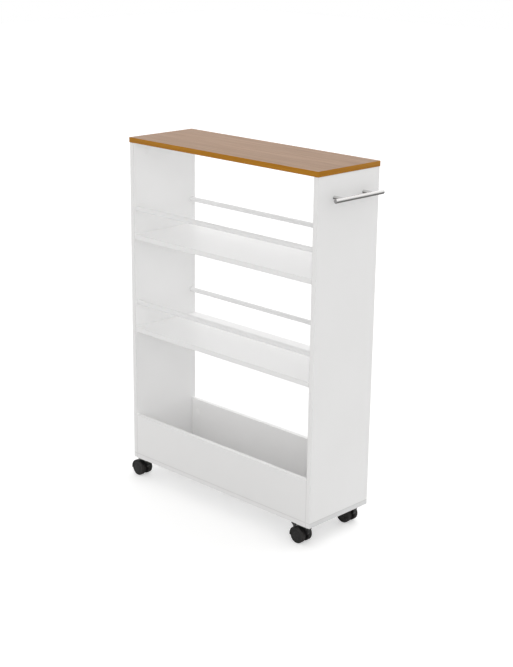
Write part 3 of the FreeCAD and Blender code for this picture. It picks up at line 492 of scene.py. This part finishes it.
def wheel(node, facing):
    """A lathed wheel in place of one CAD wheel; facing is the side of the hood's web."""
    low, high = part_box(node)
    centre = (low + high) / 2
    radius = (high.z - low.z) / 2
    thick = high.y - low.y
    inner_y = low.y if facing > 0 else high.y
    piece = new_piece(node + "_tyre", lambda bm: lathe(bm, wheel_profile(radius, thick), facing),
                      MATERIALS["wheel_nylon"], 32)
    piece.location = (centre.x, inner_y, centre.z)
    return stand_for(piece, node, body_of(node))


def wheels():
    for corner in ("front_left", "back_left", "front_right", "back_right"):
        for facing, which in ((-1, "front"), (1, "back")):
            wheel(f"{corner}_{which}_wheel", facing)


# ---------------------------------------------------------------- edging of the top


def rounded_bar(bm, low, high, radius):
    """A bar between two corners with all its edges rounded."""
    bmesh.ops.create_cube(bm, size=1)
    size, middle = high - low, (low + high) / 2
    for vert in bm.verts:
        vert.co = Vector(c * s for c, s in zip(vert.co, size)) + middle
    bmesh.ops.bevel(bm, geom=list(bm.edges), offset=radius, segments=3, profile=0.5,
                    affect="EDGES")


def edging():
    """The four strips of banding, with the small scraped arris that trimming leaves."""
    arris = 0.35 * MM
    for side, material in (("front", MATERIALS["top_edge_band"]), ("left", EDGE_BAND_ACROSS),
                           ("back", MATERIALS["top_edge_band"]), ("right", EDGE_BAND_ACROSS)):
        node = f"top_{side}_edge_band"
        low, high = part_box(node)
        piece = new_piece(node + "_strip", lambda bm: rounded_bar(bm, low, high, arris),
                          material, 40)
        stand_for(piece, node, body_of(node))


# ---------------------------------------------------------------- camera, light and floor

CAMERA_PLACE = (2.1695, -2.2102, 1.3827)
CAMERA_AZIMUTH = 44.223
CAMERA_ELEVATION = 17.188
CAMERA_ROLL = 0.727
CAMERA_LENS = 74.19


def camera():
    azimuth, elevation, roll = map(math.radians,
                                   (CAMERA_AZIMUTH, CAMERA_ELEVATION, CAMERA_ROLL))
    back = Vector((math.sin(azimuth) * math.cos(elevation),
                   -math.cos(azimuth) * math.cos(elevation), math.sin(elevation)))
    right = (-back).cross(Vector((0, 0, 1))).normalized()
    up = right.cross(-back)
    right, up = (math.cos(roll) * right + math.sin(roll) * up,
                 math.cos(roll) * up - math.sin(roll) * right)
    data = bpy.data.cameras.new("camera")
    data.lens = CAMERA_LENS
    data.sensor_width = 36
    data.clip_start = 0.05
    eye = bpy.data.objects.new("camera", data)
    turn = Matrix((right, up, back)).transposed().to_4x4()
    eye.matrix_world = Matrix.Translation(CAMERA_PLACE) @ turn
    bpy.context.scene.collection.objects.link(eye)
    bpy.context.scene.camera = eye


def floor():
    """A wide sheet of paper under the wheels."""
    def sheet(bm):
        bmesh.ops.create_grid(bm, x_segments=8, y_segments=8, size=FLOOR_HALF)
    new_piece("floor", sheet, floor_paper())


ROOM_DIM = (0.41, 0.406, 0.400, 1)
BACKDROP = (1.40, 1.40, 1.40, 1)
BACKDROP_TOWARDS = (-0.24, 0.97, 0.0)
BACKDROP_STARTS, BACKDROP_FULL = 0.1, 0.8


def room_light():
    """A pale room with a bright backdrop behind the cart; the camera sees it as plain white."""
    world = bpy.data.worlds.new("room")
    world.use_nodes = True
    tree = world.node_tree
    where = tree.nodes.new("ShaderNodeTexCoord")
    nearness = tree.nodes.new("ShaderNodeVectorMath")
    nearness.operation = "DOT_PRODUCT"
    nearness.inputs[1].default_value = BACKDROP_TOWARDS
    tree.links.new(where.outputs["Generated"], nearness.inputs[0])
    share = tree.nodes.new("ShaderNodeMapRange")
    share.inputs["From Min"].default_value = BACKDROP_STARTS
    share.inputs["From Max"].default_value = BACKDROP_FULL
    tree.links.new(nearness.outputs["Value"], share.inputs["Value"])
    lit = mix_colours(tree, share.outputs["Result"], ROOM_DIM, BACKDROP)
    seen = tree.nodes.new("ShaderNodeLightPath").outputs["Is Camera Ray"]
    shown = mix_colours(tree, seen, lit, grey(1))
    tree.links.new(shown, tree.nodes["Background"].inputs["Color"])
    bpy.context.scene.world = world


def soft_lamp(name, strength, spread, towards):
    """A broad distant lamp: its angular size in degrees and the direction it shines from."""
    data = bpy.data.lights.new(name, "SUN")
    data.energy = strength
    data.angle = math.radians(spread)
    lamp = bpy.data.objects.new(name, data)
    lamp.rotation_mode = "QUATERNION"
    lamp.rotation_quaternion = Vector(towards).to_track_quat("Z", "Y")
    bpy.context.scene.collection.objects.link(lamp)


def lamps():
    """Overhead softbox, and a wide fill from the camera's side."""
    soft_lamp("overhead", 0.52, 60, (0.1, 0.05, 0.99))
    soft_lamp("fill", 1.20, 70, (0.45, -0.80, 0.30))


dress_nodes()
wheels()
edging()
camera()
floor()
room_light()
lamps()
bpy.context.scene.view_settings.view_transform = "Standard"
